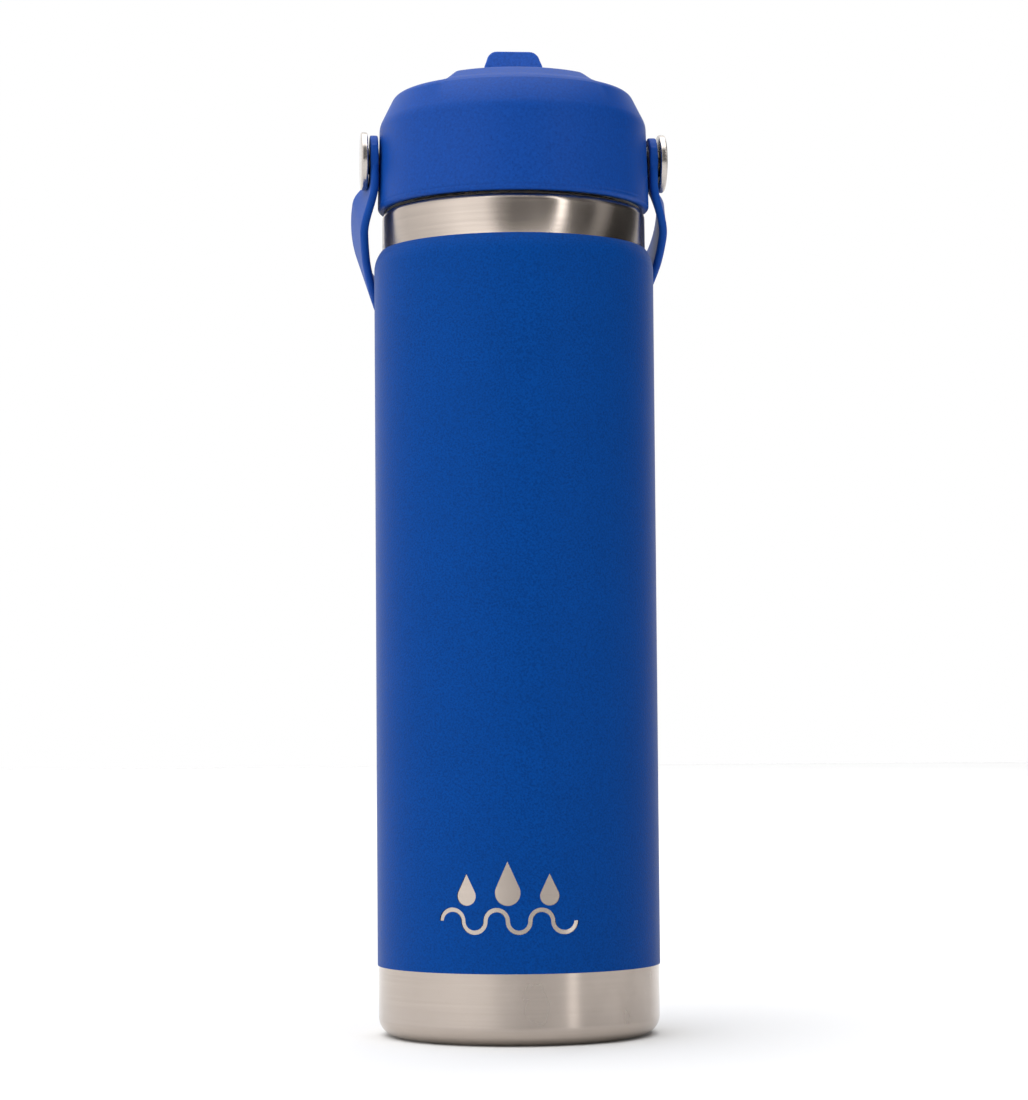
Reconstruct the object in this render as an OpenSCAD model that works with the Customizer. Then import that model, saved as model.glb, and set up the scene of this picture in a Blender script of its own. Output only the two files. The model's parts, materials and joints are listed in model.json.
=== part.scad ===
// Insulated kids water bottle: double steel wall, powder coat, screw lid with a flip spout,
// drinking straw and a soft carry strap on two steel studs.
// Millimetres, +Z up, origin at the centre of the base, front toward -Y, studs on the X axis.

/* [Body] */
// Outer radius of the powder-coated wall
body_r = 36.5; // [36.2:0.1:37]
// Height of the bare steel band at the base
band_h = 18; // [10:1:22]
// Radius of the rounded edge at the base
base_round = 4.8; // [3:0.2:6]
// Height at which the coat ends on the shoulder
shoulder_z = 203; // [190:1:210]
// Height of the shoulder's rounding
shoulder_h = 5; // [4:0.5:6]
// Thickness of the powder coat
coat_t = 0.25; // [0.2:0.05:0.4]
// Thickness of each steel wall
steel_t = 0.5; // [0.4:0.1:0.9]

/* [Collar and neck] */
// Height of the bare steel collar
collar_h = 10.6; // [9:0.2:12]
// Rounding of the collar's top corner
collar_round = 2.3; // [1:0.1:3]
// Height of the threaded neck above the collar
neck_h = 9.6; // [9:0.1:10]
// Radius of the neck at the root of its thread
neck_r = 28.2; // [28:0.1:28.4]

/* [Screw thread] */
// Rise of the lid for one turn
pitch = 4; // [4:0.1:4.4]
// Number of turns in each ridge
thread_turns = 1.2; // [0.8:0.1:1.3]
// Height of a ridge
ridge_h = 1.2; // [0.8:0.1:1.3]

/* [Lid] */
// Outer radius of the lid at its skirt
lid_r = 35.5; // [35.3:0.1:35.8]
// Height of the lid's straight side above the collar
lid_side_h = 21; // [20:0.5:22]
// Height of the dome's crown above the collar
crown_h = 31.9; // [31.8:0.1:32.1]
// Thickness of the moulded lid
lid_t = 2.2; // [2:0.1:2.4]

/* [Raised deck] */
// Width of the deck's flat top
deck_w = 32; // [31:0.5:33]
// Distance of the deck's front edge from the axis
deck_front = 25; // [24.6:0.1:25.1]
// Distance of the deck's back edge from the axis
deck_back = 27.1; // [26.9:0.1:27.2]
// Height of the deck's flat top above the collar
deck_top_h = 33.6; // [33.5:0.1:33.7]

/* [Flip spout] */
// Distance of the spout's hinge in front of the axis
hinge_front = 3; // [2.8:0.1:3.2]
// Radius of the spout's hub
hub_r = 5.2; // [5:0.1:5.4]
// Length of the spout from its hinge
spout_len = 27.4; // [24:0.2:27.6]
// Radius of the drinking channel
channel_r = 2.5; // [2:0.1:2.6]
// Height of the thumb tab above the hinge
tab_h = 12.5; // [11:0.1:12.7]
// Width of the thumb tab at its foot
tab_w = 15.8; // [15:0.2:15.8]

/* [Studs] */
// Height of the studs' axis above the collar
stud_h = 13.35; // [13:0.05:13.6]
// Radius of a stud's disc
stud_disc_r = 7.6; // [6.5:0.1:8.5]
// Thickness of a stud's disc
stud_disc_t = 1.8; // [1.4:0.1:2.4]
// Radius of a stud's neck, on which the strap turns
stud_neck_r = 3.4; // [3:0.1:3.6]

/* [Carry strap] */
// Thickness of the strap's band
strap_t = 2.2; // [2:0.1:2.4]
// Width of the band along the loop
strap_w = 20; // [16:0.5:21]
// Length of the band from a stud to the middle of the loop
strap_len = 74; // [72:0.4:80]
// Distance of the band's middle from the axis where it is widest
strap_half = 39.9; // [39.3:0.1:40.4]
// Slope of the band at the studs, from upright
strap_slope_top = 3; // [2:0.5:6]
// Slope of the band where its tight bend behind the studs ends, from upright
strap_slope_knee = 51; // [48:0.5:52]
// Length of the band from a stud to the end of its tight bend
strap_knee_len = 22; // [20:0.5:24]
// Slope of the band at the middle of the loop, from upright
strap_slope_end = 64; // [60:1:70]
// Largest twist of the band along each side
strap_twist = 12; // [8:0.5:12]

/* [Straw] */
// Outer radius of the straw
straw_r = 3.4; // [3.2:0.1:3.4]
// Gap between the straw's foot and the bottle's floor
straw_gap = 4; // [2:0.5:8]

/* [Hidden] */
$fn = 96;

// Body
steel_r = body_r - coat_t;
shoulder_arc_r = 7.7;
shoulder_arc_x = steel_r - shoulder_arc_r;
shoulder_arc_z = shoulder_z - shoulder_h;
collar_r = shoulder_arc_x + sqrt(pow(shoulder_arc_r, 2) - pow(shoulder_h, 2));
shelf_z = shoulder_z + collar_h;
rim_z = shelf_z + neck_h;
foot_r = steel_r - base_round;
floor_z = 1.8;
cap_t = 0.9;
inner_r = steel_r - 4.45;
inner_floor_z = 5.6;
inner_round = 6;
mouth_r = neck_r - 2 * steel_t;
inner_neck_z = shelf_z - 4.4;

// Lid, heights from the shelf on which the collar ends
skirt_z = shelf_z + 0.3;
crown_z = shelf_z + crown_h;
crown_r = 340;
deck_top_z = shelf_z + deck_top_h;
deck_slope = 3.4;
deck_ramp = 2.1;
deck_round = 1.5;
plate_t = 2.2;
pocket_z = deck_top_z - plate_t;
lid_bore_r = lid_r - 2.3;
liner_r = 31.2;
liner_bore_r = neck_r + ridge_h + 0.3;
liner_foot_z = shelf_z + 1;
gasket_t = 2.2;
liner_top_z = rim_z + gasket_t;
liner_top_t = 2;

// Flip spout
hinge_y = -hinge_front;
hinge_z = deck_top_z - 3.9;
slot_w = 16.6;
slot_front = -16.4;
slot_back = 25.6;
tub_floor_z = hinge_z - 6;
tub_t = 1.6;
hub_half = 7.9;
ear_w = 5;
pin_r = 1.25;
seal_gap = 0.1;
spigot_r = 4;
spigot_z = rim_z - 2;
sleeve_r = 5.4;
sleeve_top_z = rim_z + 8;
sleeve_low_z = spigot_z - 9;
vent_y = 14;
vent_r = 1.5;

// Studs and strap
stud_z = shelf_z + stud_h;
stud_disc_x = lid_r + 2.7;
insert_x = liner_r + 0.2;
insert_end_x = insert_x + 3.4;
screw_r = 2;
insert_r = 3.1;
boss_r = 5.2;
eyelet_x = lid_r;
eyelet_t = 1.7;
eyelet_r = 6.75;
grommet_r = 4.6;
eyelet_mid_x = eyelet_x + eyelet_t / 2;
strap_w_top = 12.5;
flare_from = 4.3;
flare_to = 15.7;
knee_bend = (strap_slope_knee - strap_slope_top) * PI / 180 / strap_knee_len;
loop_bend = (strap_slope_end - strap_slope_knee) * PI / 180 / (strap_len - strap_knee_len);

// Points of an arc in a profile, from angle a to angle b
function arc(x, z, r, a, b, steps = 8) =
    [for (i = [0:steps]) let (t = a + (b - a) * i / steps) [x + r * cos(t), z + r * sin(t)]];

// A rounded rectangle drawn from squares and circles
module round_slot(x0, x1, y0, y1, r) {
    translate([x0 + r, y0]) square([x1 - x0 - 2 * r, y1 - y0]);
    translate([x0, y0 + r]) square([x1 - x0, y1 - y0 - 2 * r]);
    for (x = [x0 + r, x1 - r], y = [y0 + r, y1 - r]) translate([x, y]) circle(r);
}

// A cylinder along X between two values of x, at the given height
module along_x(r, x0, x1, y = 0, z = 0) {
    translate([x0, y, z]) rotate([0, 90, 0]) cylinder(r = r, h = x1 - x0);
}

// One helical ridge that grows out of the radius root to root + rise, tapered at both ends
module ridge(root, rise, z0) {
    steps = 60;
    ramp = 8;
    sunk = 0.3 * sign(rise);
    turn = 360 * thread_turns / steps;
    points = [
        for (i = [0:steps])
            let (
                grow = min(1, (i + 1) / ramp, (steps + 1 - i) / ramp),
                z = z0 + pitch * thread_turns * i / steps,
                crest = root + rise * grow
            )
            for (p = [[root - sunk, -1], [crest, -0.45], [crest, 0.45], [root - sunk, 1]])
                [p[0] * cos(turn * i), p[0] * sin(turn * i), z + p[1]]
    ];
    side = rise > 0 ? [3, 2, 1, 0] : [0, 1, 2, 3];
    faces = concat(
        [[side[0], side[1], side[2], side[3]]],
        [for (i = [0:steps - 1], k = [0:3])
            let (a = side[k], b = side[(k + 1) % 4])
            [4 * i + b, 4 * i + a, 4 * i + 4 + a, 4 * i + 4 + b]],
        [[for (k = [3:-1:0]) 4 * steps + side[k]]]
    );
    polyhedron(points, faces, convexity = 8);
}

// Outer profile of the steel body from the foot to the shelf
function steel_outline(inset) = concat(
    arc(foot_r, base_round, base_round - inset, -90, 0),
    arc(shoulder_arc_x, shoulder_arc_z, shoulder_arc_r - inset, 0,
        asin(shoulder_h / (shoulder_arc_r - inset)), 6),
    arc(collar_r - collar_round, shelf_z - collar_round, collar_round - inset, 0, 90, 6)
);

module outer_wall() {
    outside = steel_outline(0);
    inside = steel_outline(steel_t);
    color("silver") difference() {
        union() {
            rotate_extrude() polygon(concat(
                [[foot_r - 1, floor_z], [foot_r - 1, 0]],
                outside,
                [[neck_r, shelf_z], [neck_r, rim_z], [neck_r - steel_t, rim_z],
                 [neck_r - steel_t, shelf_z - steel_t]],
                [for (i = [len(inside) - 1:-1:0]) inside[i]],
                [[foot_r - 0.2, floor_z + steel_t]],
                [[0, floor_z + steel_t], [0, floor_z]]
            ));
            ridge(neck_r, ridge_h, shelf_z + 3);
        }
        translate([0, 0, floor_z - 1]) cylinder(r = vent_r, h = 3);
    }
}

module inner_wall() {
    neck_arc_r = inner_r - neck_r + steel_t;
    neck_arc_z = inner_neck_z - neck_arc_r;
    color("gainsboro") rotate_extrude() polygon(concat(
        [[0, inner_floor_z]],
        arc(inner_r - inner_round, inner_floor_z + inner_round, inner_round, -90, 0),
        arc(neck_r - steel_t, neck_arc_z, neck_arc_r, 0, 90),
        [[neck_r - steel_t, rim_z], [mouth_r, rim_z], [mouth_r, inner_neck_z - steel_t]],
        arc(neck_r - steel_t, neck_arc_z, neck_arc_r - steel_t, 90, 0),
        arc(inner_r - inner_round, inner_floor_z + inner_round, inner_round - steel_t, 0, -90),
        [[0, inner_floor_z + steel_t]]
    ));
}

module base_cap() {
    color("silver") cylinder(r = foot_r - 1, h = cap_t);
}

module vacuum_seal() {
    color("dimgray") translate([0, 0, floor_z]) {
        cylinder(r = vent_r, h = steel_t);
        translate([0, 0, steel_t]) cylinder(r1 = 2.6, r2 = 1.4, h = 0.7);
    }
}

module getter() {
    getter_r = 5;
    color("dimgray") translate([12, 0, floor_z + steel_t]) rotate_extrude() polygon([
        [0, 0], [getter_r, 0], [getter_r, 1.4], [getter_r - 0.5, 1.8], [0, 1.8]
    ]);
}

// A drop with a round foot and a pointed top
module drop(r, h) {
    lean = asin(r / h);
    circle(r);
    polygon([[-r * cos(lean), r * sin(lean)], [0, h], [r * cos(lean), r * sin(lean)]]);
}

// Three drops over a wavy line
module emblem() {
    wave_r = 2.8;
    line_t = 1.1;
    for (i = [0:5]) translate([(2 * i - 5) * wave_r, -5.6]) difference() {
        circle(wave_r + line_t / 2);
        circle(wave_r - line_t / 2);
        translate([-5, i % 2 == 0 ? -10 : 0]) square(10);
    }
    for (x = [-10.4, 10.4]) translate([x, 0.6]) drop(2.4, 5.6);
    translate([0, 1.4]) drop(3.2, 7.8);
}

module powder_coat() {
    emblem_z = 36.6;
    emblem_turn = -9.4;
    top = asin(shoulder_h / (shoulder_arc_r + coat_t));
    color("royalblue") difference() {
        rotate_extrude() polygon(concat(
            [[steel_r, band_h], [body_r, band_h]],
            arc(shoulder_arc_x, shoulder_arc_z, shoulder_arc_r + coat_t, 0, top, 6),
            arc(shoulder_arc_x, shoulder_arc_z, shoulder_arc_r,
                asin(shoulder_h / shoulder_arc_r), 0, 6)
        ));
        rotate([0, 0, emblem_turn]) translate([0, -30, emblem_z])
            rotate([90, 0, 0]) linear_extrude(10) emblem();
    }
}

module mouth_gasket() {
    color("white") rotate_extrude() polygon([
        [mouth_r - 0.6, rim_z + 0.5], [mouth_r, rim_z], [neck_r - 0.4, rim_z],
        [neck_r + 0.1, rim_z + 0.5], [neck_r + 0.1, liner_top_z], [mouth_r - 0.6, liner_top_z]
    ]);
}

// Profile of the dome, moved inward by inset: straight side, cone, rounded edge and crown
function lid_outline(inset) = concat(
    [[lid_r - inset, skirt_z + 1.1]],
    arc(lid_r - 6.55, shelf_z + lid_side_h, 6 - inset, 2, 25, 5),
    arc(lid_r - 6.47, crown_z - 4.15, 2.9 - inset, 25.5, 85, 7),
    arc(0, crown_z - crown_r, crown_r - inset, 85.1, 90, 6)
);

// Outline of the raised deck, grown by grow, its front moved ahead: a band across the lid
module deck_outline(grow, ahead) {
    w = deck_w / 2;
    offset(r = deck_round + grow) offset(delta = -deck_round) {
        intersection() {
            circle(deck_front + ahead);
            translate([-w, -lid_r]) square([2 * w, lid_r]);
        }
        intersection() {
            circle(deck_back);
            translate([-w, -1]) square([2 * w, lid_r]);
        }
    }
}

// One level of the deck, drop below the top
module deck_layer(drop, grow, ahead) {
    layer = 0.02;
    translate([0, 0, deck_top_z - drop - layer]) linear_extrude(layer)
        deck_outline(grow, ahead, $fn = 48);
}

// Sides at 45 degrees, and a gentler ramp at the front
module deck() {
    hull() {
        deck_layer(0, 0, 0);
        deck_layer(deck_slope, deck_slope, deck_ramp);
        deck_layer(deck_slope + 2, deck_slope, deck_ramp);
    }
}

module lid_shell() {
    outer = lid_outline(0);
    color("royalblue") difference() {
        union() {
            rotate_extrude() polygon(concat(
                [[0, skirt_z], [lid_r - 1, skirt_z]],
                arc(lid_r - 1, skirt_z + 1, 1, -90, -8, 5),
                outer
            ));
            deck();
        }
        difference() {
            rotate_extrude() polygon(concat(
                [[0, skirt_z - 1], [lid_bore_r, skirt_z - 1]],
                [[lid_bore_r, skirt_z + 2]],
                [for (p = lid_outline(lid_t)) if (p[1] > skirt_z + 2) [min(p[0], lid_bore_r), p[1]]]
            ));
            for (s = [-1, 1])
                along_x(boss_r, s > 0 ? insert_x : -lid_r, s > 0 ? lid_r : -insert_x, 0, stud_z);
        }
        // Slot through the deck for the spout, and the pocket beneath it for the cradle
        translate([0, 0, pocket_z - 12]) linear_extrude(20)
            round_slot(-slot_w / 2, slot_w / 2, slot_front, slot_back, 1.5);
        translate([0, 0, pocket_z - 12]) linear_extrude(12) cradle_outline();
        for (s = [-1, 1]) {
            along_x(insert_r, s > 0 ? insert_x - 1 : -insert_end_x,
                    s > 0 ? insert_end_x : 1 - insert_x, 0, stud_z);
            along_x(screw_r, s > 0 ? insert_x - 1 : -lid_r - 1,
                    s > 0 ? lid_r + 1 : 1 - insert_x, 0, stud_z);
        }
    }
}

// Plan of the cradle: a tub around the slot, with an ear on each side at the hinge
module cradle_outline() {
    round_slot(-slot_w / 2 - tub_t, slot_w / 2 + tub_t, slot_front - 1.1, slot_back + 1.1, 1);
    ear = slot_w / 2 + ear_w;
    round_slot(-ear, ear, hinge_y - 4.5, hinge_y + 4.5, 1);
}

module lid_liner() {
    color("white") difference() {
        union() {
            rotate_extrude() polygon([
                [0, liner_top_z], [liner_bore_r, liner_top_z], [liner_bore_r, liner_foot_z],
                [lid_bore_r, liner_foot_z], [lid_bore_r, liner_foot_z + 1.6],
                [liner_r, liner_foot_z + 1.6], [liner_r, liner_top_z + liner_top_t],
                [0, liner_top_z + liner_top_t]
            ]);
            ridge(liner_bore_r, -ridge_h, shelf_z + 3 - pitch / 2 + 0.4 + pitch);
        }
        translate([0, hinge_y, liner_top_z - 1]) cylinder(r = sleeve_r, h = 5);
        translate([0, vent_y, liner_top_z - 1]) cylinder(r = vent_r, h = 5);
    }
}

module spout_cradle() {
    color("royalblue") difference() {
        union() {
            translate([0, 0, tub_floor_z - tub_t]) linear_extrude(pocket_z - tub_floor_z + tub_t)
                cradle_outline();
            translate([0, hinge_y, spigot_z]) cylinder(r = spigot_r, h = tub_floor_z - spigot_z);
        }
        translate([0, 0, tub_floor_z]) linear_extrude(20)
            round_slot(-slot_w / 2, slot_w / 2, slot_front, slot_back, 1.5);
        translate([0, hinge_y, spigot_z - 1]) cylinder(r = channel_r, h = 20);
        translate([0, vent_y, tub_floor_z - 5]) cylinder(r = vent_r, h = 10);
        along_x(pin_r, -slot_w / 2 - ear_w + 1, slot_w / 2 + ear_w - 1, hinge_y, hinge_z);
    }
}

module spout_seal() {
    color("white") difference() {
        translate([0, hinge_y, tub_floor_z]) cylinder(r = 4.6, h = 2.4);
        along_x(hub_r + seal_gap, -10, 10, hinge_y, hinge_z);
        translate([0, hinge_y, tub_floor_z - 1]) cylinder(r = channel_r, h = 10);
    }
}

// A hinge pin pressed into an ear, its free end inside the spout's hub
module hinge_pin(s) {
    outer = slot_w / 2 + ear_w - 1;
    inner = hub_half - 3.4;
    color("silver") along_x(pin_r, s > 0 ? inner : -outer, s > 0 ? outer : -inner, hinge_y, hinge_z);
}
module hinge_pin_left() { hinge_pin(-1); }
module hinge_pin_right() { hinge_pin(1); }

module cradle_gasket() {
    color("white") translate([0, hinge_y, sleeve_top_z]) difference() {
        cylinder(r = sleeve_r + 1, h = tub_floor_z - tub_t - sleeve_top_z);
        translate([0, 0, -1]) cylinder(r = spigot_r, h = 20);
    }
}

module vent_valve() {
    color("white") translate([0, vent_y, liner_top_z]) {
        cylinder(r = vent_r, h = liner_top_t);
        translate([0, 0, -0.8]) cylinder(r1 = 3.2, r2 = 4, h = 0.8);
        translate([0, 0, liner_top_t]) cylinder(r1 = 2.2, r2 = 1, h = 1.6);
    }
}

module straw_sleeve() {
    color("white") translate([0, hinge_y, 0]) rotate_extrude() polygon([
        [straw_r, sleeve_low_z], [sleeve_r - 0.8, sleeve_low_z], [sleeve_r, sleeve_low_z + 2],
        [sleeve_r, sleeve_top_z], [spigot_r, sleeve_top_z], [spigot_r, spigot_z],
        [straw_r, spigot_z]
    ]);
}

module straw() {
    foot_z = inner_floor_z + steel_t + straw_gap;
    wall = 0.8;
    color("white") translate([0, hinge_y, 0]) difference() {
        translate([0, 0, foot_z]) cylinder(r = straw_r, h = spigot_z - foot_z);
        translate([0, 0, foot_z - 1]) cylinder(r = straw_r - wall, h = 300);
        translate([0, 0, foot_z - 6]) rotate([0, 40, 0]) cube([30, 30, 9], center = true);
    }
}

module insert(s) {
    color("goldenrod") difference() {
        along_x(insert_r, s > 0 ? insert_x : -insert_end_x, s > 0 ? insert_end_x : -insert_x, 0, stud_z);
        along_x(screw_r, s > 0 ? insert_x - 1 : -insert_end_x - 1,
                s > 0 ? insert_end_x + 1 : 1 - insert_x, 0, stud_z);
    }
}
module insert_left() { insert(-1); }
module insert_right() { insert(1); }

// A stud: screw end in the insert, neck for the strap, disc with rounded edges
module stud(s) {
    disc_x = stud_disc_x;
    end_x = stud_disc_x + stud_disc_t;
    edge = 0.5;
    shoulder_x = lid_r - 0.2;
    color("silver") mirror([s < 0 ? 1 : 0, 0, 0]) translate([0, 0, stud_z]) rotate([0, 90, 0])
        rotate_extrude() polygon(concat(
            [[0, insert_x + 0.2], [screw_r, insert_x + 0.2], [screw_r, shoulder_x],
             [stud_neck_r, shoulder_x], [stud_neck_r, disc_x]],
            arc(stud_disc_r - edge, disc_x + edge, edge, -90, 0, 4),
            arc(stud_disc_r - edge, end_x - edge, edge, 0, 90, 4),
            [[0, end_x]]
        ));
}
module stud_left() { stud(-1); }
module stud_right() { stud(1); }

module flip_spout() {
    arm_w = 13;
    arm_h = 6.8;
    neck_y = hinge_y + spout_len - 9;
    color("royalblue") difference() {
        union() {
            along_x(hub_r, -hub_half, hub_half, hinge_y, hinge_z);
            translate([0, hinge_y, hinge_z]) rotate([-90, 0, 0]) linear_extrude(spout_len - 9)
                round_slot(-arm_w / 2, arm_w / 2, -arm_h / 2, arm_h / 2, 2.4);
            translate([0, neck_y, hinge_z]) rotate([-90, 0, 0]) linear_extrude(6)
                round_slot(-4.6, 4.6, -2.9 + 0.4, 2.9 - 0.4, 1.6);
            thumb_tab();
        }
        translate([0, hinge_y - 10, hinge_z]) rotate([-90, 0, 0])
            cylinder(r = channel_r - 0.9, h = 60);
        for (s = [-1, 1])
            along_x(pin_r + 0.05, s > 0 ? hub_half - 3.6 : -hub_half - 1,
                    s > 0 ? hub_half + 1 : 3.6 - hub_half, hinge_y, hinge_z);
    }
}

// Upright tab on the hub, flaring toward its foot, with rounded top corners
module thumb_tab() {
    tab_t = 3;
    top_half = 6.95;
    corner = 2.8;
    foot = tab_w / 2;
    half = concat(
        [[foot, 0], [foot, 6.8], [foot - 0.75, 9.6]],
        arc(top_half - corner, tab_h - corner, corner, 10, 90, 6)
    );
    translate([0, hinge_y - 1.3, hinge_z]) rotate([90, 0, 0])
        linear_extrude(tab_t, center = true)
            polygon(concat(half, [for (i = [len(half) - 1:-1:0]) [-half[i][0], half[i][1]]]));
}

// Soft mouthpiece pushed over the spout's end
module mouthpiece() {
    color("lightskyblue") translate([0, hinge_y + spout_len - 9, hinge_z]) rotate([-90, 0, 0])
        difference() {
            linear_extrude(9) round_slot(-6.2, 6.2, -3.4, 3.4, 3);
            translate([0, 0, -1]) linear_extrude(7) round_slot(-4.6, 4.6, -2.5, 2.5, 1.6);
            cylinder(r = 1.6, h = 20);
        }
}

// Middle of the band at length s from the stud: out along x, back and down
function flare(s) = min(1, max(0, (s - flare_from) / (flare_to - flare_from)));
function loop_part(s) = max(0, (s - flare_to) / (strap_len - flare_to));
function band_x(s) = s < flare_to
    ? eyelet_mid_x + (strap_half - eyelet_mid_x) * (1 - cos(180 * flare(s))) / 2
    : strap_half * sqrt(max(0, 1 - pow(loop_part(s), 2)));
function band_slope(s) = strap_slope_top
    + 180 / PI * (knee_bend * min(s, strap_knee_len) + loop_bend * max(0, s - strap_knee_len));
function band_y(s) =
    (cos(strap_slope_top) - cos(band_slope(min(s, strap_knee_len)))) / knee_bend
    + (cos(strap_slope_knee) - cos(band_slope(max(s, strap_knee_len)))) / loop_bend;
function band_z(s) = stud_z
    - (sin(band_slope(min(s, strap_knee_len))) - sin(strap_slope_top)) / knee_bend
    - (sin(band_slope(max(s, strap_knee_len))) - sin(strap_slope_knee)) / loop_bend;

// Direction across the band's thickness: its part along x and its part along the band
function band_normal(s) =
    let (
        rise = (strap_half - eyelet_mid_x) * PI / 2 / (flare_to - flare_from),
        c = band_x(s) / strap_half,
        v = s < flare_to
            ? [1, -rise * sin(180 * flare(s))]
            : [(strap_len - flare_to) * c, strap_half * sqrt(max(0, 1 - c * c))]
    )
    v / norm(v);

// One rounded cross-section of the band, on the side given by the sign of side
function band_ring(s, side) =
    let (
        grow = flare(s),
        wide = min(1, max(0, s / flare_to)),
        w = (strap_w_top + (strap_w - strap_w_top) * sin(90 * wide)) / 2,
        t = (eyelet_t + (strap_t - eyelet_t) * grow) / 2,
        n = band_normal(s),
        a = band_slope(s),
        twist = strap_twist * pow(sin(180 * max(0, s) / strap_len), 2),
        corner = t * 0.95
    )
    [
        for (q = [0:3], k = [0:3])
            let (
                turn = 90 * q + 30 * k,
                along = (q == 0 || q == 3 ? 1 : -1) * (w - corner) + corner * cos(turn),
                through = (q < 2 ? 1 : -1) * (t - corner) + corner * sin(turn),
                across = along * sin(twist) + through * cos(twist),
                back = along * cos(twist) - through * sin(twist)
            )
            [
                side * (band_x(s) + across * n[0]),
                band_y(s) + across * n[1] * sin(a) + back * cos(a),
                band_z(s) - across * n[1] * cos(a) + back * sin(a)
            ]
    ];

module strap_band() {
    band_start = -3;
    flare_steps = 12;
    loop_steps = 22;
    stations = concat(
        [for (i = [0:flare_steps - 1]) band_start + (flare_to - band_start) * i / flare_steps],
        [for (i = [0:loop_steps]) flare_to + (strap_len - flare_to) * sin(90 * i / loop_steps)]
    );
    last = len(stations) - 1;
    rings = concat(
        [for (i = [0:last]) band_ring(stations[i], 1)],
        [for (i = [last - 1:-1:0]) band_ring(stations[i], -1)]
    );
    m = 16;
    count = len(rings);
    faces = concat(
        [[for (k = [0:m - 1]) k]],
        [for (i = [0:count - 2], k = [0:m - 1])
            let (next = (k + 1) % m)
            [i * m + next, i * m + k, (i + 1) * m + k, (i + 1) * m + next]],
        [[for (k = [m - 1:-1:0]) (count - 1) * m + k]]
    );
    polyhedron([for (r = rings, p = r) p], faces, convexity = 8);
}

module strap_handle() {
    color("royalblue") difference() {
        union() {
            strap_band();
            for (s = [-1, 1]) eyelet(s, eyelet_r);
        }
        for (s = [-1, 1]) eyelet(s, grommet_r, 2);
    }
}

// Disc on the stud's axis, as thick as the eyelet plus extra on each face
module eyelet(s, r, extra = 0) {
    low = eyelet_x - extra;
    high = eyelet_x + eyelet_t + extra;
    along_x(r, s > 0 ? low : -high, s > 0 ? high : -low, 0, stud_z);
}

module grommet(s) {
    color("silver") difference() {
        eyelet(s, grommet_r);
        eyelet(s, stud_neck_r + 0.05, 1);
    }
}
module grommet_left() { grommet(-1); }
module grommet_right() { grommet(1); }

outer_wall();
inner_wall();
base_cap();
vacuum_seal();
getter();
powder_coat();
mouth_gasket();
lid_shell();
lid_liner();
spout_cradle();
spout_seal();
hinge_pin_left();
hinge_pin_right();
cradle_gasket();
vent_valve();
straw_sleeve();
straw();
insert_left();
insert_right();
stud_left();
stud_right();
flip_spout();
mouthpiece();
strap_handle();
grommet_left();
grommet_right();
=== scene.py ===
"""Looks of an insulated kids water bottle: steel body in a blue powder coat, domed screw lid
with a flip spout, and a soft carry strap on steel studs. The shape functions work in millimetres.
"""
import json
import math

import bmesh
import bpy
from mathutils import Matrix, Vector


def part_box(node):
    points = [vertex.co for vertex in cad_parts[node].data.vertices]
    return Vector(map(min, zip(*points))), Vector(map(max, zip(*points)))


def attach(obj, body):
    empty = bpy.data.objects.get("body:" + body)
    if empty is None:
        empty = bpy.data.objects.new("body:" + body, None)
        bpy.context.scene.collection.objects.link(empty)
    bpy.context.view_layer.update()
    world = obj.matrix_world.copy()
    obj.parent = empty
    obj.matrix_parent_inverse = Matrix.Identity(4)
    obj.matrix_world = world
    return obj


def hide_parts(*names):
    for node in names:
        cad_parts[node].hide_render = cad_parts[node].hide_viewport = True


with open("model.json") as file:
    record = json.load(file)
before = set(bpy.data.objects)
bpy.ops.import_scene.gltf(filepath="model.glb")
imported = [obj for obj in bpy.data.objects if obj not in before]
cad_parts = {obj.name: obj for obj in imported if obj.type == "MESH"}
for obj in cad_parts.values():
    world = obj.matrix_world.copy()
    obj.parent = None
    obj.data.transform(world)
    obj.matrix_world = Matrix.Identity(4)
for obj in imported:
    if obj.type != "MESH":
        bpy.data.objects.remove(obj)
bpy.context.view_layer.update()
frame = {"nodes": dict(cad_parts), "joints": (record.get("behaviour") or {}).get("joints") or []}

MM = 0.001
JOINTS = {j["name"]: j for j in frame["joints"]}


def low(node, axis):
    """Lowest coordinate of a CAD node, in millimetres."""
    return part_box(node)[0][axis] / MM


def high(node, axis):
    """Highest coordinate of a CAD node, in millimetres."""
    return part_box(node)[1][axis] / MM


# Driving sizes in millimetres, most of them read from the frame
STEEL_R = high("outer_wall", 0)
SHOULDER_TOP = high("powder_coat", 2)
RIM_TOP = high("outer_wall", 2)
LID_R = high("lid_shell", 0)
LID_LOW = low("lid_shell", 2)
DECK_TOP = high("lid_shell", 2)
HINGE_Y = JOINTS["spout_flip"]["pos_m"][1] / MM
HINGE_Z = JOINTS["spout_flip"]["pos_m"][2] / MM
STUD_Z = JOINTS["strap_swing"]["pos_m"][2] / MM
STUD_DISC_T = 1.8
SHELF_Z = LID_LOW - 0.3
CROWN_Z = DECK_TOP - 1.7


# ---------------------------------------------------------------- shape helpers

def arc(x, z, r, start, end, steps):
    """Points of an arc of radius r about (x, z), angles in degrees."""
    turns = [math.radians(start + (end - start) * i / steps) for i in range(steps + 1)]
    return [(x + r * math.cos(t), z + r * math.sin(t)) for t in turns]


def link(name, mesh):
    """A new object in the scene that shows the mesh."""
    obj = bpy.data.objects.new(name, mesh)
    bpy.context.scene.collection.objects.link(obj)
    return obj


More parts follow.
